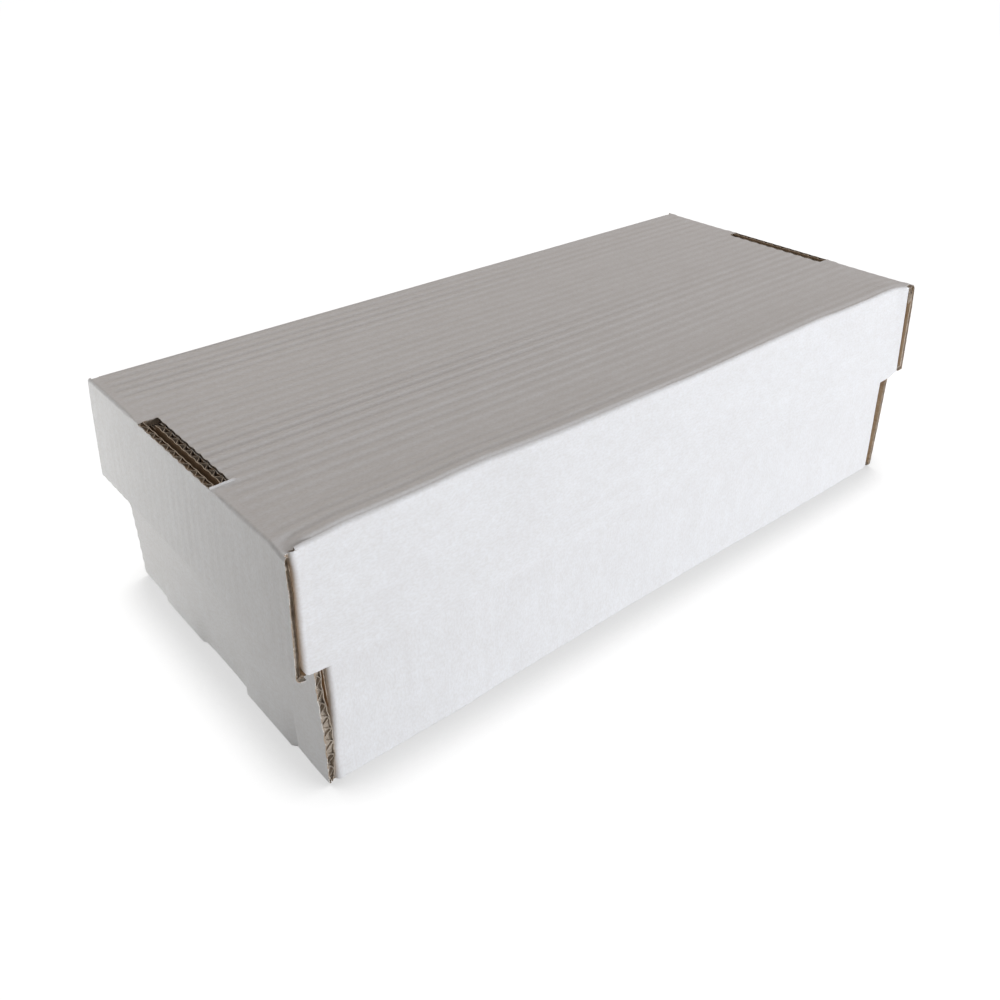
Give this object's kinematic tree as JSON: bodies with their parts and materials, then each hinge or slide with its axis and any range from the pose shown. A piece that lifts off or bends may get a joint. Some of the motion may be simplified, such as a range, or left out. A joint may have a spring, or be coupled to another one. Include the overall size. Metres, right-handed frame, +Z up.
{
  "type": "card storage box",
  "caption": "Shallow oblong box for trading cards in rigid holders: a folded corrugated-board tray with a lift-off telescoping lid.",
  "frame": {"origin": "middle of the footprint, on the surface the box stands on", "axes": "+X along the box's length, +Z up out of the lid"},
  "size_m": [0.39, 0.176, 0.111],
  "materials": {
    "base_board": "white-lined single-wall corrugated board, brown kraft inside and at the cut edges",
    "lid_board": "white-lined single-wall corrugated board, brown kraft inside and at the cut edges"
  },
  "bodies": {
    "base": {"base_tray": "base_board"},
    "lid": {"lid": "lid_board"}
  },
  "joints": [
    {"name": "lid_lift", "type": "slide", "parent": "base", "child": "lid", "axis": [0, 0, 1], "range_m": [0, 0.08]}
  ]
}
